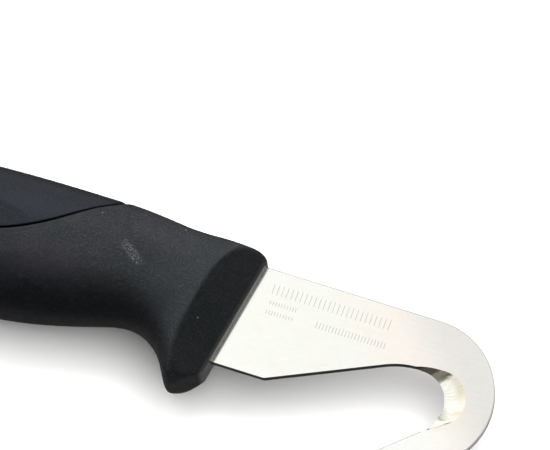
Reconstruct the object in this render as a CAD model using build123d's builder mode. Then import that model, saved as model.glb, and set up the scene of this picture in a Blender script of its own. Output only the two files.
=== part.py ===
"""Hook-bladed hoof knife with a handle moulded in two materials.

The knife lies on its side. +X runs along the blade towards its hook, +Y towards the blade's spine, and +Z up,
out of the blade face that carries the grinding bevel. The origin is the middle of the knife's box, at its
lowest point. All sizes are in millimetres.

Every shape is drawn from the root: the point on the blade's middle plane where its spine enters the handle.
"""

import math
import os

from build123d import *

# Blade, measured from the root
blade_thickness = 2.0
blade_height = 26.2
spine_length = 43.0
hook_radius = 18.5
belly_corner = (8.1, -blade_height)
beak_tip = (36.4, -2 * hook_radius)
beak_rounding = 1.0
corner_rounding = 0.8

# The notch that forms the throat. Its nose is wider on the upper face, which makes the bevel
edge_end = (33.9, -14.2)
roof_crest = (37.3, -13.0)
bevel_start = (41.0, -12.45)
throat_floor = (47.0, -27.35)
cutting_edge = [(41.8, -12.45), (42.6, -12.5), (50.1, -19.6), (49.3, -23.3), (48.4, -25.4)]
bevel_rim = [(44.0, -11.7), (47.2, -11.45), (54.9, -18.4), (53.5, -22.7), (50.6, -25.1)]
notch_overrun = 2.0

# Tang, hidden inside the handle
top_shoulder = (-5.0, -3.5)
bottom_shoulder = (-9.0, -22.5)
tang_end = -88.0
tang_end_top = -6.5
tang_end_bottom = -18.5
tang_rounding = 2.5
tang_thickness = 1.8
lock_holes = [(-28.0, -12.8), (-58.0, -12.6)]
lock_hole_radius = 3.6

# Handle
handle_length = 118.0
handle_top = 4.3
swell_half_thickness = 12.3
side_flat_depth = 0.35
front_rake = 10.0
front_setback = 0.25
front_half_width = 4.0
facet_slope = 34.5
facet_rounding = 2.5
butt_rounding = 3.0
section_points = 24

# The soft grip over the hard core
grip_skin = 2.2
core_sink = 0.15
seam_gap = 0.4
seam = [
    (-34.5, 7.0),
    (-35.8, 4.1),
    (-41.2, -0.9),
    (-49.3, -7.3),
    (-60.0, -13.3),
    (-76.0, -16.8),
    (-92.0, -19.0),
    (-101.0, -23.5),
    (-105.0, -31.0),
    (-105.6, -38.0),
]
behind_the_butt = -130.0

# Cross-sections of the handle from nose to butt:
# x, top, belly, half thickness, squareness (2 is an ellipse, larger is squarer)
sections = [
    (2.0, -1.9, -21.5, 9.8, 4.4),
    (0.0, 0.6, -24.0, 10.1, 4.4),
    (-1.6, 1.65, -25.7, 10.3, 4.4),
    (-4.0, 2.15, -28.4, 10.45, 4.3),
    (-7.0, 2.5, -31.6, 10.5, 4.0),
    (-9.5, 2.75, -34.0, 10.5, 3.6),
    (-11.5, 2.9, -35.1, 10.45, 3.3),
    (-13.2, 2.95, -35.1, 10.3, 3.1),
    (-14.8, 2.9, -33.0, 10.1, 3.1),
    (-16.8, 2.9, -29.6, 9.8, 3.1),
    (-19.2, 3.0, -26.8, 9.6, 3.0),
    (-22.5, 3.3, -24.7, 9.5, 3.0),
    (-27.0, 3.8, -23.8, 9.7, 2.9),
    (-34.0, 4.25, -25.3, 10.4, 2.8),
    (-42.0, 4.3, -27.6, 11.15, 2.8),
    (-53.0, 4.15, -30.0, 11.9, 2.8),
    (-66.0, 3.7, -31.2, swell_half_thickness, 2.8),
    (-80.0, 2.8, -30.8, 12.25, 2.8),
    (-93.0, 1.8, -29.5, 11.9, 2.8),
    (-104.0, 1.2, -29.0, 11.6, 2.8),
    (-112.0, 1.1, -29.8, 11.6, 2.8),
    (-handle_length, 1.3, -31.2, 11.7, 2.8),
]

# Worked out from the sizes above
handle_half_thickness = swell_half_thickness - side_flat_depth
root = Vector(
    (handle_length - spine_length - hook_radius) / 2,
    (2 * hook_radius - handle_top) / 2,
    handle_half_thickness,
)
front_point = root - Vector(front_setback, 0, 0)
side_view = Plane(origin=root)

os.makedirs("parts", exist_ok=True)


def signed_power(value, exponent):
    return math.copysign(abs(value) ** exponent, value)


def section_outline(top, belly, half_thickness, squareness):
    """Points of a superellipse across the handle, as (height, thickness) pairs."""
    middle = (top + belly) / 2
    half_height = (top - belly) / 2
    points = []
    for index in range(section_points):
        angle = 2 * math.pi * index / section_points
        height = middle + half_height * signed_power(math.cos(angle), 2 / squareness)
        thickness = half_thickness * signed_power(math.sin(angle), 2 / squareness)
        points.append((height, thickness))
    return points


def front_plane(inset):
    """The raked front face, moved back by inset, with its normal pointing out."""
    rake = math.radians(front_rake)
    outward = Vector(math.cos(rake), -math.sin(rake), 0)
    return Plane(origin=front_point - outward * inset, z_dir=outward)


def side_plane(side, inset):
    """The small flat on the handle's swell that it lies on, moved in by inset. side is 1 or -1."""
    return Plane(origin=root + Vector(0, 0, side * (handle_half_thickness - inset)), z_dir=(0, 0, side))


def facet_plane(side, inset):
    """A slanted facet beside the front face, moved in by inset. side is 1 above the blade and -1 below it."""
    rake = math.radians(front_rake)
    slope = math.radians(facet_slope)
    outward = Vector(
        math.sin(slope) * math.cos(rake),
        -math.sin(slope) * math.sin(rake),
        side * math.cos(slope),
    )
    front_edge = front_point + Vector(0, 0, side * front_half_width)
    return Plane(origin=front_edge - outward * inset, z_dir=outward)


def handle_shape(inset):
    """The handle's whole outer form, with every surface moved in by inset."""
    with BuildPart() as shape:
        for x, top, belly, half_thickness, squareness in sections:
            station = max(x, inset - handle_length)
            across = Plane(origin=root + Vector(station, 0, 0), x_dir=(0, 1, 0), z_dir=(1, 0, 0))
            outline = section_outline(top - inset, belly + inset, half_thickness - inset, squareness)
            with BuildSketch(across):
                with BuildLine():
                    Spline(*outline, periodic=True)
                make_face()
        loft()
        butt = shape.faces().sort_by(Axis.X)[0]
        fillet(butt.edges(), butt_rounding)
        split(bisect_by=front_plane(inset), keep=Keep.BOTTOM)
        for side in (1, -1):
            split(bisect_by=facet_plane(side, inset), keep=Keep.BOTTOM)
            split(bisect_by=side_plane(side, inset), keep=Keep.BOTTOM)
    return shape.part


def core_region(gap):
    """The part of the handle behind the seam, as a thick slab with the seam's shape, moved back by gap."""
    moved_seam = [(x - gap, y + gap) for x, y in seam]
    with BuildPart() as region:
        with BuildSketch(side_view):
            with BuildLine():
                Spline(*moved_seam)
                Polyline(
                    moved_seam[-1],
                    (behind_the_butt, moved_seam[-1][1]),
                    (behind_the_butt, moved_seam[0][1]),
                    moved_seam[0],
                )
            make_face()
        extrude(amount=2 * swell_half_thickness, both=True)
    return region.part


def along(start, end, distance):
    """The point at this distance past end, on the line from start."""
    step = distance / math.dist(start, end)
    return (end[0] + step * (end[0] - start[0]), end[1] + step * (end[1] - start[1]))


def bevel_points(lean):
    """The nose of the notch: lean is 0 at the cutting edge, on the lower face, and 1 at the upper face."""
    return [
        (low[0] + lean * (high[0] - low[0]), low[1] + lean * (high[1] - low[1]))
        for low, high in zip(cutting_edge, bevel_rim)
    ]


# Blade and tang, one piece of steel
with BuildPart() as hook_blade:
    with BuildSketch(side_view.offset(-blade_thickness / 2)) as blade_outline:
        with BuildLine():
            Line((top_shoulder[0], 0), (spine_length, 0))
            ThreePointArc(
                (spine_length, 0),
                (spine_length + hook_radius, -hook_radius),
                (spine_length, -2 * hook_radius),
            )
            Polyline(
                (spine_length, -2 * hook_radius),
                beak_tip,
                belly_corner,
                (bottom_shoulder[0], -blade_height),
                bottom_shoulder,
                (tang_end, tang_end_bottom),
                (tang_end, tang_end_top),
                top_shoulder,
                (top_shoulder[0], 0),
            )
        make_face()
        fillet(blade_outline.vertices().group_by(Axis.X)[0], tang_rounding)
    extrude(amount=blade_thickness)

    with BuildSketch(side_view.offset(-blade_thickness / 2)):
        with Locations(*lock_holes):
            Circle(lock_hole_radius)
    extrude(amount=blade_thickness, mode=Mode.SUBTRACT)

    for level in (-blade_thickness, blade_thickness):
        roof, nose_top, nose_front, nose_low, floor_curve = bevel_points(level / blade_thickness + 0.5)
        mouth_start = along(edge_end, belly_corner, notch_overrun)
        mouth_end = along(throat_floor, beak_tip, notch_overrun)
        with BuildSketch(side_view.offset(level)):
            with BuildLine():
                Line(mouth_start, edge_end)
                ThreePointArc(edge_end, roof_crest, bevel_start)
                ThreePointArc(bevel_start, roof, nose_top)
                ThreePointArc(nose_top, nose_front, nose_low)
                ThreePointArc(nose_low, floor_curve, throat_floor)
                Line(throat_floor, mouth_end)
                Polyline(mouth_end, (mouth_start[0], mouth_end[1]), mouth_start)
            make_face()
    loft(ruled=True, mode=Mode.SUBTRACT)

    upright_edges = hook_blade.edges().filter_by(Axis.Z)
    fillet(upright_edges.sort_by_distance(root + Vector(*beak_tip))[0], beak_rounding)
    upright_edges = hook_blade.edges().filter_by(Axis.Z)
    fillet(upright_edges.sort_by_distance(root + Vector(*belly_corner))[0], corner_rounding)

    # Behind the handle's front face, the tang is a little thinner than the blade
    rake_shift = blade_height * math.tan(math.radians(front_rake))
    tang_cut = (blade_thickness - tang_thickness) / 2
    for side in (1, -1):
        with BuildSketch(side_view.offset(side * blade_thickness / 2)):
            with BuildLine():
                Polyline(
                    (rake_shift - front_setback, blade_height),
                    (-2 * rake_shift - front_setback, -2 * blade_height),
                    (-handle_length, -2 * blade_height),
                    (-handle_length, blade_height),
                    close=True,
                )
            make_face()
        extrude(amount=-side * tang_cut, mode=Mode.SUBTRACT)

hook_blade.part.label = "hook_blade"
export_step(hook_blade.part, "parts/hook_blade.step")

# Hard core, moulded on the tang
core_inside = handle_shape(grip_skin)
core_outside = handle_shape(core_sink)
core_surface = core_region(seam_gap)

with BuildPart() as handle_core:
    add(core_outside)
    add(core_surface, mode=Mode.INTERSECT)
    add(core_inside)
    add(hook_blade.part, mode=Mode.SUBTRACT)

handle_core.part.label = "handle_core"
export_step(handle_core.part, "parts/handle_core.step")

# Soft grip, moulded over the core
grip_outside = handle_shape(0)
behind_seam = core_region(0)

with BuildPart() as soft_grip:
    add(grip_outside)
    facet_edges = soft_grip.edges().filter_by(lambda edge: 40 < edge.length < 60).sort_by(Axis.X)[-2:]
    fillet(facet_edges, facet_rounding)
    add(core_inside, mode=Mode.SUBTRACT)
    add(behind_seam, mode=Mode.SUBTRACT)
    add(hook_blade.part, mode=Mode.SUBTRACT)

soft_grip.part.label = "soft_grip"
export_step(soft_grip.part, "parts/soft_grip.step")
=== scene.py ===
"""Looks of the hook-bladed hoof knife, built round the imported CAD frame.

Shapes are worked out in millimetres from the blade's root, the point on the blade's middle plane where its
spine enters the handle. Blender's own lengths are in metres.
"""
import math

import bpy
import numpy as np
from mathutils import Matrix, Vector


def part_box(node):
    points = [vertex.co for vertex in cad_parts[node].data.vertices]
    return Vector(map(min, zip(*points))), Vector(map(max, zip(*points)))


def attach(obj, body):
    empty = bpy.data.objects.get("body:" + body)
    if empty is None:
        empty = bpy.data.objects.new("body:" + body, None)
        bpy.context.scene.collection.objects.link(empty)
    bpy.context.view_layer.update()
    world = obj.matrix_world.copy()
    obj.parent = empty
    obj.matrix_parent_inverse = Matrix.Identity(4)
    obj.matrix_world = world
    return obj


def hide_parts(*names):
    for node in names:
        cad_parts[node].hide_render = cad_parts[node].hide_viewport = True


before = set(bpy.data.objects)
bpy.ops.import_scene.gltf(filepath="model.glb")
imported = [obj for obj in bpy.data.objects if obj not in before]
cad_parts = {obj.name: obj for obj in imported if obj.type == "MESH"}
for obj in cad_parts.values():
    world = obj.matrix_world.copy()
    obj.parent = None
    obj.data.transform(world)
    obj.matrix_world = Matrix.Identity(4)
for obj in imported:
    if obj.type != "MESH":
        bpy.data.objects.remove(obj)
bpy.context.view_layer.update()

# ---------------------------------------------------------------- sizes, in mm from the blade's root
blade_low, blade_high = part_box("hook_blade")
spine_length = 43.0
hook_radius = 18.5
blade_reach = spine_length + hook_radius
root = np.array([
    blade_high.x * 1000 - blade_reach,
    blade_high.y * 1000,
    (blade_low.z + blade_high.z) * 500,
])

# The beak's inner edge runs from the throat's floor to the tip
throat_floor = (47.0, -27.35)
beak_tip = (36.4, -2 * hook_radius)

front_rake = math.radians(10.0)
front_setback = 0.25
front_half_width = 4.0
facet_slope = math.radians(34.5)
side_flat = 11.95
butt_x = -118.0
facet_rounding = 0.22
front_rounding = 0.3
butt_rounding = 3.0
flat_rounding = 0.05

grip_skin = 2.2
core_clearance = 0.03
core_inset = grip_skin + core_clearance
core_sink = 0.15
seam_gap = 0.45

seam_points = [(-34.5, 7.0), (-35.8, 4.1), (-41.2, -0.9), (-49.3, -7.3), (-60.0, -13.3), (-76.0, -16.8),
               (-92.0, -19.0), (-101.0, -23.5), (-105.0, -31.0), (-105.6, -38.0)]

# Cross-sections from butt to nose: x, top, belly, half thickness, squareness
sections = np.array([
    (-118.0, 1.3, -31.2, 11.7, 2.8),
    (-112.0, 1.1, -29.8, 11.6, 2.8),
    (-104.0, 1.2, -29.0, 11.6, 2.8),
    (-93.0, 1.8, -29.5, 11.9, 2.8),
    (-80.0, 2.8, -30.8, 12.25, 2.8),
    (-66.0, 3.7, -31.2, 12.3, 2.8),
    (-53.0, 4.15, -30.0, 11.9, 2.8),
    (-42.0, 4.3, -27.6, 11.15, 2.8),
    (-34.0, 4.25, -25.3, 10.4, 2.8),
    (-27.0, 3.8, -23.8, 9.7, 2.9),
    (-22.5, 3.3, -24.7, 9.5, 3.0),
    (-19.2, 3.0, -26.8, 9.6, 3.0),
    (-16.8, 2.9, -29.6, 9.8, 3.1),
    (-14.8, 2.9, -33.0, 10.1, 3.1),
    (-13.2, 2.95, -35.1, 10.3, 3.1),
    (-11.5, 2.9, -35.1, 10.45, 3.3),
    (-9.5, 2.75, -34.0, 10.5, 3.6),
    (-7.0, 2.5, -31.6, 10.5, 4.0),
    (-4.0, 2.15, -28.4, 10.45, 4.3),
    (-1.6, 1.65, -25.7, 10.3, 4.4),
    (0.0, 0.6, -24.0, 10.1, 4.4),
    (2.0, -1.9, -21.5, 9.8, 4.4),
])


def spline(knots, values):
    """A natural cubic spline through the values, as a function of an array."""
    knots = np.asarray(knots, float)
    values = np.asarray(values, float)
    count = len(knots)
    gap = np.diff(knots)
    matrix = np.eye(count)
    right = np.zeros(count)
    for i in range(1, count - 1):
        matrix[i, i - 1:i + 2] = gap[i - 1], 2 * (gap[i - 1] + gap[i]), gap[i]
        right[i] = 6 * ((values[i + 1] - values[i]) / gap[i] - (values[i] - values[i - 1]) / gap[i - 1])
    bend = np.linalg.solve(matrix, right)

    def evaluate(x):
        x = np.clip(x, knots[0], knots[-1])
        i = np.clip(np.searchsorted(knots, x) - 1, 0, count - 2)
        h = gap[i]
        a = (knots[i + 1] - x) / h
        b = 1 - a
        curved = (a ** 3 - a) * bend[i] + (b ** 3 - b) * bend[i + 1]
        return a * values[i] + b * values[i + 1] + curved * h * h / 6

    return evaluate


top_line, belly_line, width_line, square_line = (spline(sections[:, 0], sections[:, k]) for k in (1, 2, 3, 4))


def round_max(a, b, radius):
    """The larger of two distances, with the edge between them rounded."""
    inside_a = np.maximum(a + radius, 0)
    inside_b = np.maximum(b + radius, 0)
    return np.where((a > -radius) & (b > -radius), np.hypot(inside_a, inside_b) - radius, np.maximum(a, b))


def body_value(x, y, z):
    """A measure of the lofted body that is 0 on its surface and negative inside."""
    middle = (top_line(x) + belly_line(x)) / 2
    half_height = (top_line(x) - belly_line(x)) / 2
    power = square_line(x)
    across = (np.abs(y - middle) / half_height) ** power + (np.abs(z) / width_line(x)) ** power
    return np.maximum(across, 1e-9) ** (1 / power) - 1


def handle_distance(p):
    """About how far p is outside the handle's surface, in mm. It is negative inside."""
    x, y, z = p[..., 0], p[..., 1], p[..., 2]
    step = 0.02
    value = body_value(x, y, z)
    slopes = [
        (body_value(x + step * ax, y + step * ay, z + step * az) - value) / step
        for ax, ay, az in ((1, 0, 0), (0, 1, 0), (0, 0, 1))
    ]
    body = value / np.maximum(np.sqrt(sum(s * s for s in slopes)), 1e-3)
    raked = (x + front_setback) * math.cos(front_rake) - y * math.sin(front_rake)
    facet = math.sin(facet_slope) * raked + math.cos(facet_slope) * (np.abs(z) - front_half_width)
    shape = round_max(body, facet, facet_rounding)
    shape = round_max(shape, raked, front_rounding)
    shape = round_max(shape, butt_x - x, butt_rounding)
    return round_max(shape, np.abs(z) - side_flat, flat_rounding)


# ---------------------------------------------------------------- rays from the handle's axis
ray_count = 256
front_centre_x = -13.0
rear_centre_x = -108.0
nearest_hit = 2.5
furthest_hit = 30.0
cast_steps = 12


def even_angles(count):
    """Angles round a section that give evenly spaced points on it."""
    fine = np.linspace(0, 2 * math.pi, 4001)
    high, wide, power = 16.5, 12.0, 2.8
    radius = (np.abs(np.cos(fine) / high) ** power + np.abs(np.sin(fine) / wide) ** power) ** (-1 / power)
    points = np.stack([radius * np.cos(fine), radius * np.sin(fine)], 1)
    run = np.concatenate([[0], np.cumsum(np.linalg.norm(np.diff(points, axis=0), axis=1))])
    return np.interp(np.arange(count) / count * run[-1], run, fine)


angles = even_angles(ray_count)


def cast(start, direction, inset):
    """Points where rays meet the handle's surface moved in by inset."""
    near = np.full(start.shape[:-1], nearest_hit)
    far = np.full(start.shape[:-1], furthest_hit)
    near_value = handle_distance(start + direction * near[..., None]) + inset
    far_value = handle_distance(start + direction * far[..., None]) + inset
    for _ in range(cast_steps):
        rise = far_value - near_value
        flat = np.abs(rise) < 1e-9
        middle = np.where(flat, far, far - far_value * (far - near) / np.where(flat, 1.0, rise))
        value = handle_distance(start + direction * middle[..., None]) + inset
        crossed = value * far_value < 0
        near, near_value = np.where(crossed, far, near), np.where(crossed, far_value, near_value / 2)
        far, far_value = middle, value
    return start + direction * far[..., None]


def axis_height(x):
    """The y of the handle's middle line."""
    return (top_line(x) + belly_line(x)) / 2


def barrel_ring(x, inset):
    """One ring of points. x and inset are one number, or one for each ray."""
    x = np.broadcast_to(np.asarray(x, float), (ray_count,))
    start = np.stack([x, axis_height(x), np.zeros(ray_count)], 1)
    direction = np.stack([np.zeros(ray_count), np.cos(angles), np.sin(angles)], 1)
    return cast(start, direction, np.broadcast_to(inset, (ray_count,)))


def cap_rings(centre_x, way, inset, count):
    """Rings that close one end of the handle. The last one is the end's middle point, once for each ray.
    way is 1 at the nose and -1 at the butt."""
    rings = []
    for k in range(1, count + 1):
        lean = math.pi / 2 * k / count
        start = np.tile([centre_x, float(axis_height(centre_x)), 0.0], (ray_count, 1))
        direction = np.stack([
            np.full(ray_count, way * math.sin(lean)),
            np.cos(angles) * math.cos(lean),
            np.sin(angles) * math.cos(lean),
        ], 1)
        rings.append(cast(start, direction, np.full(ray_count, inset)))
    return rings


# ---------------------------------------------------------------- the seam between grip and core
seam_steps = 160


def seam_curve():
    """Points along a smooth curve through the seam's points."""
    points = np.array(seam_points)
    run = np.concatenate([[0], np.cumsum(np.linalg.norm(np.diff(points, axis=0), axis=1))])
    fine = np.linspace(0, run[-1], seam_steps)
    return np.stack([spline(run, points[:, 0])(fine), spline(run, points[:, 1])(fine)], 1)


seam_line = seam_curve()


def seam_distance(x, y):
    """Distance from the seam in side view, in mm: positive on the core's side."""
    p = np.stack([x, y], -1)[..., None, :]
    a = seam_line[:-1]
    d = np.diff(seam_line, axis=0)
    t = np.clip(((p - a) * d).sum(-1) / (d * d).sum(-1), 0, 1)
    away = p - (a + t[..., None] * d)
    length = np.sqrt((away ** 2).sum(-1))
    best = length.argmin(-1)[..., None]
    side = d[:, 1] * away[..., 0] - d[:, 0] * away[..., 1]
    nearest_length = np.take_along_axis(length, best, -1)[..., 0]
    nearest_side = np.take_along_axis(side, best, -1)[..., 0]
    return nearest_length * np.sign(nearest_side)


# The handle's surface is surveyed once, to find where each ray's line along it crosses the seam
survey_x = np.linspace(-112.0, -30.0, 329)
survey = np.stack([barrel_ring(x, 0.0) for x in survey_x])
survey_distance = np.stack([seam_distance(ring[:, 0], ring[:, 1]) for ring in survey])


def seam_crossing(distance):
    """For each ray, the x where the handle's surface is this far from the seam.
    distance is one number, or one for each ray."""
    distance = np.broadcast_to(distance, (ray_count,))
    found = np.empty(ray_count)
    for j in range(ray_count):
        values = survey_distance[:, j] - distance[j]
        i = np.nonzero((values[:-1] > 0) & (values[1:] <= 0))[0][-1]
        share = values[i] / (values[i] - values[i + 1])
        found[j] = survey_x[i] + share * (survey_x[i + 1] - survey_x[i])
    return found


lip_steps = 4


def lip_rings(edge, way, level, radius, floor):
    """The wall of the seam and its rounded lip, from the wall's foot outwards.
    edge is the wall's distance from the seam, and way is 1 on the core's side and -1 on the grip's."""
    wall = seam_crossing(edge)
    rings = [barrel_ring(wall, floor), barrel_ring(wall, (floor + level + radius) / 2)]
    for k in range(lip_steps + 1):
        turn = math.pi / 2 * k / lip_steps
        x = seam_crossing(edge + way * radius * (1 - math.cos(turn)))
        rings.append(barrel_ring(x, level + radius * (1 - math.sin(turn))))
    return rings


def between(first, last, count, inset, ease=1.0):
    """Rings that run from x = first to x = last, leaving out both ends."""
    return [barrel_ring(first + (last - first) * (k / count) ** ease, inset) for k in range(1, count)]


def mesh_from_rings(name, rings, first_pole, last_pole):
    """A closed mesh from rings of points. Each end closes in one middle point, its pole."""
    points = [tuple(p) for ring in rings for p in ring]
    faces = []
    for k in range(len(rings) - 1):
        for j in range(ray_count):
            a = k * ray_count + j
            b = k * ray_count + (j + 1) % ray_count
            faces.append((a, b, b + ray_count, a + ray_count))
    for ring_index, pole in ((0, first_pole), (len(rings) - 1, last_pole)):
        points.append(tuple(pole))
        middle = len(points) - 1
        base = ring_index * ray_count
        for j in range(ray_count):
            pair = (base + j, base + (j + 1) % ray_count)
            faces.append((*pair, middle) if ring_index else (*pair[::-1], middle))
    mesh = bpy.data.meshes.new(name)
    mesh.from_pydata([tuple((np.array(p) + root) / 1000) for p in points], [], faces)
    mesh.validate()
    mesh.polygons.foreach_set("use_smooth", [True] * len(mesh.polygons))
    mesh.update()
    piece = bpy.data.objects.new(name, mesh)
    bpy.context.scene.collection.objects.link(piece)
    return piece


def nose_rings(inset, count):
    """The rings that close the nose, and its pole."""
    rings = cap_rings(front_centre_x, 1, inset, count)
    return rings[:-1], rings[-1][0]


# The lips are wider along the top of the handle, where the seam shows as a small notch in its outline
upwards = np.clip((np.cos(angles) - 0.75) / 0.2, 0, 1)
grip_lip_radius = 0.3 + 0.8 * upwards
core_lip_radius = 0.25 + 0.5 * upwards

# How many rings each stretch of the two meshes has
inner_nose_count = 24
outer_nose_count = 64
inner_count = 60
grip_count = 130
core_count = 110
butt_count = 56
grip_ease = 0.85

# Soft grip: from the inner pole, out along the inner face to the seam, over the lip and back to the nose
grip_lip = lip_rings(0.0, -1, 0.0, grip_lip_radius, grip_skin)
inner_nose, inner_pole = nose_rings(grip_skin, inner_nose_count)
outer_nose, outer_pole = nose_rings(0.0, outer_nose_count)
lip_x = seam_crossing(-grip_lip_radius)
foot_x = seam_crossing(0.0)
start_x = np.full(ray_count, front_centre_x)
grip_rings = (
    inner_nose[::-1]
    + [barrel_ring(front_centre_x, grip_skin)]
    + between(start_x, foot_x, inner_count, grip_skin)
    + grip_lip
    + between(lip_x, start_x, grip_count, 0.0, grip_ease)
    + [barrel_ring(front_centre_x, 0.0)]
    + outer_nose
)
grip = mesh_from_rings("soft_grip_skin", grip_rings, inner_pole, outer_pole)
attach(grip, "root")
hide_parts("soft_grip")

# Each point of the grip knows how far it is from the seam, for the smooth border in its material
grip_points = np.array([vertex.co for vertex in grip.data.vertices]) * 1000 - root
parts = np.array_split(grip_points, 40)
from_seam = np.concatenate([-seam_distance(part[:, 0], part[:, 1]) for part in parts])
grip.data.attributes.new("from_seam", "FLOAT", "POINT").data.foreach_set("value", from_seam)

# Hard core: from the pole under the nose, along under the grip, up the seam's wall and back to the butt
core_lip = lip_rings(seam_gap, 1, core_sink, core_lip_radius, core_inset)
core_nose, core_pole = nose_rings(core_inset, inner_nose_count)
butt = cap_rings(rear_centre_x, -1, core_sink, butt_count)
core_lip_x = seam_crossing(seam_gap + core_lip_radius)
core_rings = (
    core_nose[::-1]
    + [barrel_ring(front_centre_x, core_inset)]
    + between(start_x, seam_crossing(seam_gap), inner_count, core_inset)
    + core_lip
    + between(core_lip_x, np.full(ray_count, rear_centre_x), core_count, core_sink)
    + [barrel_ring(rear_centre_x, core_sink)]
    + butt[:-1]
)
core = mesh_from_rings("hard_core", core_rings, core_pole, butt[-1][0])
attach(core, "root")
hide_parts("handle_core")


# ---------------------------------------------------------------- materials
class Shader:
    """A small helper that builds a node material step by step."""

    def __init__(self, name):
        self.material = bpy.data.materials.new(name)
        self.material.use_nodes = True
        self.tree = self.material.node_tree
        self.surface = self.tree.nodes["Principled BSDF"]
        place = self.node("ShaderNodeTexCoord")
        self.position = self.math_vector("SUBTRACT", place.outputs["Object"], tuple(root / 1000))
        self.position = self.math_vector("MULTIPLY", self.position, (1000, 1000, 1000))
        parts = self.node("ShaderNodeSeparateXYZ")
        self.link(self.position, parts.inputs[0])
        self.x, self.y, self.z = parts.outputs

    def node(self, kind, **settings):
        made = self.tree.nodes.new(kind)
        for key, value in settings.items():
            setattr(made, key, value)
        return made

    def link(self, source, socket):
        if hasattr(source, "links"):
            self.tree.links.new(source, socket)
        else:
            socket.default_value = source

    def math_vector(self, operation, a, b):
        made = self.node("ShaderNodeVectorMath", operation=operation)
        self.link(a, made.inputs[0])
        self.link(b, made.inputs[1])
        return made.outputs[0]

    def math(self, operation, *values):
        made = self.node("ShaderNodeMath", operation=operation)
        for socket, value in zip(made.inputs, values):
            self.link(value, socket)
        return made.outputs[0]

    def band(self, value, low, high, to_low=0.0, to_high=1.0):
        """Value mapped smoothly from low..high to to_low..to_high."""
        made = self.node("ShaderNodeMapRange", interpolation_type="SMOOTHSTEP")
        for socket, number in zip(made.inputs, (value, low, high, to_low, to_high)):
            self.link(number, socket)
        return made.outputs[0]

    def across_line(self, x, y, step_x, step_y):
        """How far a point lies along (step_x, step_y) from (x, y), in side view."""
        run = self.math("MULTIPLY", self.math("SUBTRACT", self.x, x), step_x)
        rise = self.math("MULTIPLY", self.math("SUBTRACT", self.y, y), step_y)
        return self.math("ADD", run, rise)

    def length(self, x, y):
        """The length of the vector (x, y)."""
        return self.math("SQRT", self.math("ADD", self.math("POWER", x, 2.0), self.math("POWER", y, 2.0)))

    def noise(self, scale, detail=2.0, roughness=0.5, stretch=(1, 1, 1), seed=0.0):
        """Noise in 0..1. scale is in cells per mm."""
        place = self.math_vector("MULTIPLY", self.position, stretch)
        place = self.math_vector("ADD", place, (seed, seed * 1.7, seed * 0.6))
        made = self.node("ShaderNodeTexNoise")
        self.link(place, made.inputs["Vector"])
        made.inputs["Scale"].default_value = scale
        made.inputs["Detail"].default_value = detail
        made.inputs["Roughness"].default_value = roughness
        return made.outputs[0]

    def mix(self, share, a, b):
        """Colour a turned into colour b, by this share."""
        made = self.node("ShaderNodeMix", data_type="RGBA")
        self.link(share, made.inputs[0])
        self.link(a, made.inputs[6])
        self.link(b, made.inputs[7])
        return made.outputs[2]

    def tinge(self, share, colour, tint):
        """The colour multiplied by a tint, by this share."""
        made = self.node("ShaderNodeMix", data_type="RGBA", blend_type="MULTIPLY", clamp_result=False)
        self.link(share, made.inputs[0])
        self.link(colour, made.inputs[6])
        self.link(tint, made.inputs[7])
        return made.outputs[2]

    def bump(self, heights):
        """heights is a list of (height in 0..1, depth in mm)."""
        normal = None
        for height, depth in heights:
            made = self.node("ShaderNodeBump")
            made.inputs["Strength"].default_value = 1.0
            made.inputs["Distance"].default_value = depth / 1000
            self.link(height, made.inputs["Height"])
            if normal is not None:
                self.link(normal, made.inputs["Normal"])
            normal = made.outputs[0]
        self.link(normal, self.surface.inputs["Normal"])

    def set(self, **values):
        for key, value in values.items():
            self.link(value, self.surface.inputs[key.replace("_", " ")])


# Light dust specks on the grip's upper side, and a scuff with its middle and the slant of its long way
dust_specks = [(-20.3, 0.9), (-39.8, -2.1), (-10.2, -19.2)]
scuff_middle = (-30.0, -9.2)
scuff_slant = math.radians(-36.6)


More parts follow.
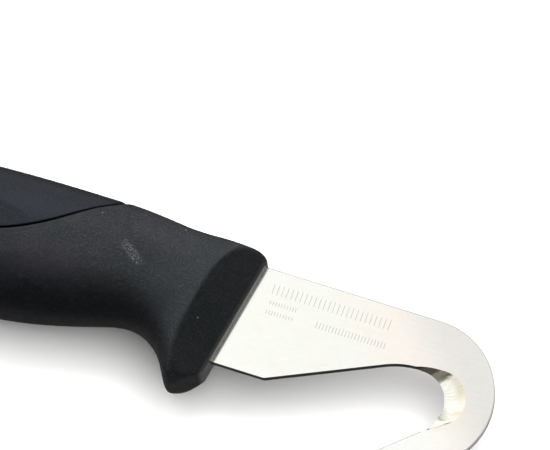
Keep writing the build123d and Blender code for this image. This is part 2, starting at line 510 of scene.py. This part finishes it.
def rubber():
    """Grained black rubber, smoother on the facets and beside the seam, and glossier on the front face. Its
    colour also holds painted light: a lighter front face, a lighter side towards the guard and a darker
    belly.
    """
    s = Shader("soft_grip_rubber")
    speckle = s.noise(2.1, 3.0, 0.75)
    coarse = s.noise(0.8, 3.0, 0.6, seed=5.0)
    patches = s.noise(0.10, 3.0, 0.55, seed=9.0)
    hue = s.noise(0.06, 2.0, 0.5, seed=17.0)

    raked = s.math("ADD", s.x, s.math("MULTIPLY", s.y, -math.tan(front_rake)))
    front = s.band(raked, -1.2, -0.35)
    beyond = s.math("SUBTRACT", s.math("ABSOLUTE", s.z), front_half_width)
    beyond = s.math("MULTIPLY", beyond, math.cos(facet_slope))
    facet = s.math("ADD", s.math("MULTIPLY", raked, math.sin(facet_slope)), beyond)
    facet = s.band(facet, -0.9, -0.3)
    border = s.node("ShaderNodeAttribute", attribute_name="from_seam").outputs["Fac"]
    border = s.band(border, 1.9, 1.1)
    grainy = s.math("MULTIPLY", s.math("SUBTRACT", 1.0, front), s.band(facet, 0.0, 1.0, 1.0, 0.55))
    grainy = s.math("MULTIPLY", grainy, s.band(border, 0.0, 1.0, 1.0, 0.35))

    # Painted shade: the belly behind the guard shows less of the pale grain and speckle, so it reads darker,
    # as if in shade
    painted_lit_share = s.math("MAXIMUM", s.band(s.y, -20.5, -11.5, 0.25, 1.0), s.band(s.x, -22.0, -14.0))

    blue = s.mix(s.band(patches, 0.3, 0.7), (0.0016, 0.0019, 0.0030, 1), (0.0030, 0.0035, 0.0052, 1))
    colour = s.mix(s.band(hue, 0.45, 0.65, 0, 0.7), blue, (0.0140, 0.0080, 0.0165, 1))
    # Painted light: the side is coloured lighter towards the guard, less so on the shaded belly
    painted_light_towards_guard = s.math("MULTIPLY", painted_lit_share, s.band(s.x, -50.0, -6.0, 0, 0.6))
    colour = s.mix(painted_light_towards_guard, colour, (0.0115, 0.0145, 0.0140, 1))
    colour = s.mix(s.band(border, 0.0, 1.0, 0, 0.5), colour, (0.0120, 0.0130, 0.0160, 1))
    pale = s.math("MULTIPLY", painted_lit_share, s.band(coarse, 0.42, 0.68, 0, 0.4))
    colour = s.mix(pale, colour, (0.0085, 0.0100, 0.0120, 1))
    bright = s.band(speckle, 0.46, 0.68, 0, s.band(coarse, 0.35, 0.65, 0.45, 1.0))
    bright = s.math("MULTIPLY", s.math("MULTIPLY", bright, grainy), painted_lit_share)
    colour = s.mix(bright, colour, (0.0370, 0.0400, 0.0450, 1))
    for speck_x, speck_y in dust_specks:
        away = s.math("MAXIMUM", s.math("ABSOLUTE", s.math("SUBTRACT", s.x, speck_x)),
                      s.math("ABSOLUTE", s.math("SUBTRACT", s.y, speck_y)))
        speck = s.math("MULTIPLY", s.band(away, 0.22, 0.08), s.math("GREATER_THAN", s.z, 0.0))
        colour = s.mix(speck, colour, (0.16, 0.16, 0.17, 1))

    along = s.math("ABSOLUTE", s.across_line(*scuff_middle, math.cos(scuff_slant), math.sin(scuff_slant)))
    beside = s.math("ABSOLUTE", s.across_line(*scuff_middle, -math.sin(scuff_slant), math.cos(scuff_slant)))
    scuff = s.math("MULTIPLY", s.band(along, 4.3, 2.4), s.band(beside, 1.55, 0.6))
    scuff = s.math("MULTIPLY", scuff, s.math("GREATER_THAN", s.z, 0.0))
    scuff = s.math("MULTIPLY", scuff, s.band(s.noise(2.6, 3.0, 0.75, seed=27.0), 0.46, 0.62))
    colour = s.mix(s.math("MULTIPLY", scuff, 0.85), colour, (0.150, 0.142, 0.150, 1))

    roughness = s.math("ADD", s.band(patches, 0.25, 0.75, 0.46, 0.58), s.band(coarse, 0.3, 0.7, -0.05, 0.06))
    roughness = s.math("SUBTRACT", roughness, s.math("MULTIPLY", front, 0.34))
    # Painted reflection: the front face is coloured lighter grey, standing in for the bright blade mirrored
    # in it
    colour = s.mix(front, colour, (0.048, 0.048, 0.044, 1))
    s.set(Base_Color=colour, Roughness=roughness)
    s.surface.inputs["Specular IOR Level"].default_value = 0.25
    s.surface.inputs["Specular Tint"].default_value = (0.83, 0.92, 1.0, 1)
    s.bump([(s.math("MULTIPLY", coarse, grainy), 0.05), (s.math("MULTIPLY", speckle, grainy), 0.045)])
    return s.material


def hard_plastic():
    """Smooth dark blue-black plastic with a very fine grain."""
    s = Shader("hard_core_plastic")
    fine = s.noise(3.2, 1.0, 0.5, seed=3.0)
    patches = s.noise(0.1, 3.0, 0.5, seed=12.0)
    colour = s.mix(s.band(patches, 0.3, 0.7), (0.0028, 0.0036, 0.0054, 1), (0.0040, 0.0050, 0.0072, 1))
    colour = s.mix(s.band(fine, 0.50, 0.66, 0, 0.7), colour, (0.0170, 0.0195, 0.0250, 1))
    roughness = s.math("ADD", s.band(patches, 0.25, 0.75, 0.42, 0.52), s.band(fine, 0.3, 0.7, -0.03, 0.03))
    s.set(Base_Color=colour, Roughness=roughness)
    s.surface.inputs["Specular IOR Level"].default_value = 0.22
    s.surface.inputs["Specular Tint"].default_value = (0.75, 0.82, 1.0, 1)
    s.bump([(fine, 0.02)])
    return s.material


def hatched_mark(s, left, right, top, bottom, pitch):
    """An etched block of plain upright strokes, 1 on a stroke and 0 off it."""
    inside = s.math("MULTIPLY", s.math("GREATER_THAN", s.x, left), s.math("LESS_THAN", s.x, right))
    inside = s.math("MULTIPLY", inside, s.math("GREATER_THAN", s.y, bottom))
    inside = s.math("MULTIPLY", inside, s.math("LESS_THAN", s.y, top))
    place = s.math("FRACT", s.math("DIVIDE", s.math("SUBTRACT", s.x, left), pitch))
    stroke = s.math("LESS_THAN", place, stroke_width / pitch)
    return s.math("MULTIPLY", inside, stroke)


# Etched blocks on the blade: left, right, top, bottom and pitch of the strokes
etched_blocks = [
    (3.0, 31.9, -3.4, -6.0, 1.15),
    (3.4, 10.4, -7.6, -8.6, 0.7),
    (3.2, 10.2, -10.0, -11.0, 0.7),
    (15.5, 32.5, -9.2, -10.8, 0.8),
]
stroke_width = 0.16

# The throat's middle, and the reach round it that holds the ground bevel
throat_x = 42.5
throat_y = -19.5
throat_reach = 13.8


def flat_steel(s, grain):
    """Satin steel whose colour gets cooler and darker towards the hook and lighter again on the beak, as
    painted reflection.
    """
    mottle = s.noise(0.9, 3.0, 0.65, seed=11.0)
    warm_cloud = s.noise(0.16, 3.0, 0.55, seed=7.0)
    pink_cloud = s.noise(0.19, 3.0, 0.55, seed=15.0)
    # Painted reflection: along this run the colour darkens and cools towards the hook
    painted_reflection_run = s.math("ADD", s.x, s.math("MULTIPLY", s.math("ADD", s.y, 13.0), 0.9))
    colour = s.mix(s.band(painted_reflection_run, 24.0, 42.0), (0.536, 0.550, 0.530, 1), (0.549, 0.528, 0.508, 1))
    colour = s.mix(s.band(painted_reflection_run, 39.0, 56.0), colour, (0.461, 0.463, 0.458, 1))
    # Painted reflection: the beak is coloured lighter again
    beak = s.math("MULTIPLY", s.band(s.y, -22.5, -29.0), s.band(s.x, 59.0, 50.0))
    colour = s.mix(beak, colour, (0.560, 0.572, 0.565, 1))
    tinted = s.math("MULTIPLY", s.band(warm_cloud, 0.48, 0.64), 0.5)
    colour = s.tinge(tinted, colour, (1.01, 0.995, 0.955, 1))
    tinted = s.math("MULTIPLY", s.band(pink_cloud, 0.50, 0.66), 0.6)
    colour = s.tinge(tinted, colour, (1.01, 0.970, 0.965, 1))
    colour = s.tinge(s.band(grain, 0.35, 0.75, 0.0, 0.35), colour, (0.86, 0.86, 0.86, 1))
    return s.tinge(s.band(mottle, 0.35, 0.65, 0.0, 0.35), colour, (0.95, 0.95, 0.95, 1))


def burr_line(s):
    """1 on a thin line along the spine, round the hook and along the beak's inner edge, and 0 off it."""
    past_arc = s.math("MAXIMUM", s.math("SUBTRACT", s.x, spine_length), 0.0)
    hook_reach = s.length(past_arc, s.math("ADD", s.y, hook_radius))
    outer = s.band(hook_reach, hook_radius - 0.32, hook_radius - 0.10)
    run = math.dist(throat_floor, beak_tip)
    step_x = (throat_floor[1] - beak_tip[1]) / run
    step_y = (beak_tip[0] - throat_floor[0]) / run
    inner = s.band(s.across_line(*throat_floor, step_x, step_y), 0.32, 0.10)
    inner = s.math("MULTIPLY", inner, s.math("LESS_THAN", s.x, throat_floor[0] + 0.5))
    inner = s.math("MULTIPLY", inner, s.math("LESS_THAN", s.y, throat_floor[1] + 0.85))
    return s.math("MAXIMUM", outer, inner)


def radial_scratches(s, turn, reach):
    """Noise drawn out along the rays from the throat's middle."""
    place = s.node("ShaderNodeCombineXYZ")
    s.link(s.math("MULTIPLY", turn, 22.0), place.inputs[0])
    s.link(s.math("MULTIPLY", reach, 0.35), place.inputs[1])
    made = s.node("ShaderNodeTexNoise")
    s.link(place.outputs[0], made.inputs["Vector"])
    made.inputs["Scale"].default_value = 1.0
    made.inputs["Detail"].default_value = 2.0
    return made.outputs[0]


def ground_steel(s, turn, scratches, low_end):
    """The throat's ground bevel: cream, with a tan stain near its rim. Its upper end and beak side are
    painted darker, its low end lighter, and a crease dark, as painted reflection and shade.
    """
    cream = s.mix(s.band(scratches, 0.35, 0.65), (0.505, 0.510, 0.455, 1), (0.560, 0.565, 0.515, 1))
    near_rim = s.math("MULTIPLY", s.band(s.z, -0.3, 0.7), s.band(turn, 0.95, 0.65))
    near_rim = s.math("MULTIPLY", near_rim, s.band(turn, -0.35, 0.0))
    tan = s.math("MULTIPLY", near_rim, s.band(scratches, 0.40, 0.60, 0.60, 0.95))
    cream = s.mix(tan, cream, (0.43, 0.375, 0.300, 1))
    # Painted reflection: the upper end and the beak side are tinted darker and the low end lighter
    cream = s.tinge(s.band(turn, 0.78, 0.86), cream, (0.66, 0.60, 0.56, 1))
    cream = s.tinge(s.band(turn, 0.12, -0.08), cream, (0.68, 0.67, 0.65, 1))
    cream = s.mix(low_end, cream, (0.70, 0.685, 0.600, 1))
    # Painted shade: a dark line along the crease near the bevel's top face, on the beak side
    crease_painted_shade = s.math("MULTIPLY", s.band(s.z, 0.45, 0.85), s.band(turn, -0.15, -0.40))
    return s.mix(s.math("MULTIPLY", crease_painted_shade, 0.8), cream, (0.20, 0.19, 0.18, 1))


def steel():
    """Satin blade steel. The way each face points tells the flats, the ground bevel and the walls apart."""
    s = Shader("blade_satin_steel")
    grain = s.noise(1.0, 4.0, 0.65, stretch=(0.06, 5.0, 1.0))
    streaks = s.noise(1.0, 2.0, 0.6, stretch=(0.02, 1.2, 1.0), seed=4.0)
    colour = flat_steel(s, grain)

    parts = s.node("ShaderNodeSeparateXYZ")
    s.link(s.node("ShaderNodeNewGeometry").outputs["True Normal"], parts.inputs[0])
    upright = parts.outputs[2]
    flatness = s.math("ABSOLUTE", upright)
    wall = s.band(flatness, 0.30, 0.05)
    flat = s.math("GREATER_THAN", flatness, 0.999)
    slanted = s.math("MULTIPLY", s.math("SUBTRACT", 1.0, flat), s.math("SUBTRACT", 1.0, wall))

    marks = 0.0
    for block in etched_blocks:
        marks = s.math("MAXIMUM", marks, hatched_mark(s, *block))
    marks = s.math("MULTIPLY", s.math("MULTIPLY", marks, flat), s.math("GREATER_THAN", upright, 0.5))
    colour = s.mix(s.math("MULTIPLY", marks, 0.72), colour, (0.16, 0.16, 0.16, 1))
    burr = s.math("MULTIPLY", burr_line(s), flat)
    colour = s.mix(s.math("MULTIPLY", burr, 0.55), colour, (0.17, 0.18, 0.19, 1))

    # turn is the angle round the throat's middle, in radians: 0 towards the hook, negative on the beak's side
    from_x = s.math("SUBTRACT", s.x, throat_x)
    from_y = s.math("SUBTRACT", s.y, throat_y)
    turn = s.math("ARCTAN2", from_y, from_x)
    reach = s.length(from_x, from_y)
    in_throat = s.math("LESS_THAN", reach, throat_reach)
    low_end = s.band(turn, -0.33, -0.44)
    scratches = radial_scratches(s, turn, reach)
    ground = s.math("MULTIPLY", s.math("MULTIPLY", slanted, in_throat), s.math("GREATER_THAN", turn, -0.78))
    # Painted shade: the narrow slanted edges outside the throat are coloured dark grey and not metal, toning
    # down their bright reflection
    edge = s.math("SUBTRACT", slanted, ground)
    colour = s.mix(edge, colour, (0.10, 0.10, 0.10, 1))
    colour = s.mix(ground, colour, ground_steel(s, turn, scratches, low_end))

    # The stamped walls are dark in the throat and along the belly, and grey on the spine, hook and beak
    outside = s.math("MAXIMUM", s.band(s.y, -4.0, -2.0), s.band(s.y, -27.5, -29.5))
    outside = s.math("MAXIMUM", outside, s.band(s.x, 40.0, 44.0))
    outside = s.math("MULTIPLY", s.math("SUBTRACT", 1.0, in_throat), outside)
    throat_low = s.math("MULTIPLY", in_throat, s.band(turn, -0.24, -0.33))
    walls = s.mix(outside, (0.040, 0.040, 0.040, 1), (0.34, 0.34, 0.335, 1))
    walls = s.mix(throat_low, walls, (0.70, 0.68, 0.63, 1))
    colour = s.mix(wall, colour, walls)

    # The grey walls, the bevel's low end and the narrow edges shine less like bare metal
    dull = s.math("MULTIPLY", s.math("MULTIPLY", wall, s.math("MAXIMUM", outside, throat_low)), 0.85)
    dull = s.math("ADD", dull, s.math("MULTIPLY", ground, s.math("MULTIPLY", low_end, 0.85)))
    metallic = s.math("SUBTRACT", 1.0, s.math("ADD", dull, edge))

    roughness = s.math("ADD", s.band(grain, 0.3, 0.7, 0.10, 0.15), s.math("MULTIPLY", wall, 0.25))
    roughness = s.math("ADD", roughness, s.math("MULTIPLY", ground, 0.06))
    roughness = s.math("ADD", roughness, s.math("MULTIPLY", marks, 0.3))
    s.set(Base_Color=colour, Metallic=metallic, Roughness=roughness)
    s.bump([(streaks, 0.003), (grain, 0.0015), (s.math("MULTIPLY", scratches, ground), 0.02)])
    return s.material


grip.data.materials.append(rubber())
core.data.materials.append(hard_plastic())
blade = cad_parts["hook_blade"]
blade.data.materials.clear()
blade.data.materials.append(steel())

# On this mesh the overlap clamp holds the rounding to about 0.01 mm, so the blade's edges stay almost sharp
weld = blade.modifiers.new("weld", "WELD")
weld.merge_threshold = 0.00001
rounding = blade.modifiers.new("edge_rounding", "BEVEL")
rounding.width = 0.00025
rounding.segments = 2
rounding.limit_method = "ANGLE"
rounding.angle_limit = math.radians(35)
rounding.harden_normals = True

# ---------------------------------------------------------------- floor, light and camera
scene = bpy.context.scene
scene.view_settings.view_transform = "Standard"
scene.view_settings.look = "None"


def matte(name, value):
    """A plain grey material without gloss."""
    made = bpy.data.materials.new(name)
    made.use_nodes = True
    surface = made.node_tree.nodes["Principled BSDF"]
    surface.inputs["Base Color"].default_value = (value, value, value, 1)
    surface.inputs["Roughness"].default_value = 0.9
    surface.inputs["Specular IOR Level"].default_value = 0.1
    return made


floor_half = 6.0
floor_mesh = bpy.data.meshes.new("floor")
floor_corners = [(x * floor_half, y * floor_half, 0) for x, y in ((-1, -1), (1, -1), (1, 1), (-1, 1))]
floor_mesh.from_pydata(floor_corners, [], [(0, 1, 2, 3)])
floor = bpy.data.objects.new("floor", floor_mesh)
scene.collection.objects.link(floor)
floor_mesh.materials.append(matte("floor_white", 0.9))
floor.visible_glossy = False

world = bpy.data.worlds.new("studio")
scene.world = world
world.use_nodes = True


def tent_light(strength_low, strength_high, towards, fade_from, fade_to):
    """A smooth light tent: brightest towards one direction, and dim away from it."""
    tree = world.node_tree
    background = tree.nodes["Background"]
    place = tree.nodes.new("ShaderNodeTexCoord")
    facing = tree.nodes.new("ShaderNodeVectorMath")
    facing.operation = "DOT_PRODUCT"
    facing.inputs[1].default_value = Vector(towards).normalized()
    fade = tree.nodes.new("ShaderNodeMapRange")
    fade.interpolation_type = "SMOOTHSTEP"
    for socket, number in zip(list(fade.inputs)[1:5], (fade_from, fade_to, strength_low, strength_high)):
        socket.default_value = number
    tree.links.new(place.outputs["Generated"], facing.inputs[0])
    tree.links.new(facing.outputs["Value"], fade.inputs[0])
    tree.links.new(fade.outputs[0], background.inputs["Strength"])
    background.inputs["Color"].default_value = (1.0, 0.985, 0.955, 1.0)


tent_light(strength_low=0.20, strength_high=1.75, towards=(-0.20, 0.75, 0.63), fade_from=0.52, fade_to=0.84)


def softbox(name, place, width, height, radiance):
    """A rectangular soft light that faces the origin and gives this radiance, whatever its size."""
    light = bpy.data.lights.new(name, "AREA")
    light.shape = "RECTANGLE"
    light.size = width
    light.size_y = height
    light.energy = radiance * math.pi * width * height
    lamp = bpy.data.objects.new(name, light)
    lamp.location = place
    lamp.rotation_mode = "QUATERNION"
    lamp.rotation_quaternion = (-Vector(place)).to_track_quat("-Z", "Y")
    lamp.visible_camera = False
    scene.collection.objects.link(lamp)
    return lamp


def only_for(lamp, *receivers):
    """Let this lamp light these objects and nothing else."""
    group = bpy.data.collections.new(lamp.name + "_receivers")
    for receiver in receivers:
        group.objects.link(receiver)
    lamp.light_linking.receiver_collection = group


# Places in metres, then width, height and radiance
softbox("key_above_behind", (0.04, 0.70, 0.98), 0.5, 0.4, 6.0)
panel_left = softbox("panel_left", (-1.05, 0.25, 0.95), 1.3, 1.1, 1.75)
only_for(panel_left, grip, core, floor)
panel_blade = softbox("panel_blade", (-0.89, -0.20, 1.12), 1.75, 1.75, 1.6)
only_for(panel_blade, blade)
panel_low = softbox("panel_low", (-0.86, 0.80, 0.40), 1.1, 0.7, 1.7)
only_for(panel_low, blade)
panel_front = softbox("panel_front", (0.0, -1.3, 0.4), 2.6, 0.8, 0.4)
only_for(panel_front, blade)
panel_right = softbox("panel_right", (1.2, 0.1, 0.65), 1.4, 1.2, 0.9)
only_for(panel_right, blade)
floor_fill = softbox("floor_fill", (0.5, 0.2, 1.0), 2.0, 2.0, 1.9)
only_for(floor_fill, floor)

camera_data = bpy.data.cameras.new("camera")
camera = bpy.data.objects.new("camera", camera_data)
scene.collection.objects.link(camera)
scene.camera = camera

# The camera looks from far away at a point given in mm from the root, and takes in view_width mm there
camera_distance = 2000.0
view_width = 129.075
camera_target = np.array([-1.46, 9.70, 3.40])
camera_azimuth = math.radians(-62.11)
camera_elevation = math.radians(69.87)
camera_roll = math.radians(-9.22)
camera_turn = (
    Matrix.Rotation(camera_azimuth + math.pi / 2, 3, "Z")
    @ Matrix.Rotation(math.pi / 2 - camera_elevation, 3, "X")
    @ Matrix.Rotation(camera_roll, 3, "Z")
)
camera_place = camera_target + np.array(camera_turn.col[2]) * camera_distance + root
camera.matrix_world = Matrix.Translation(camera_place / 1000) @ camera_turn.to_4x4()
camera_data.sensor_width = 36.0
camera_data.lens = camera_data.sensor_width * camera_distance / view_width
camera_data.clip_start = 0.1
camera_data.clip_end = 50
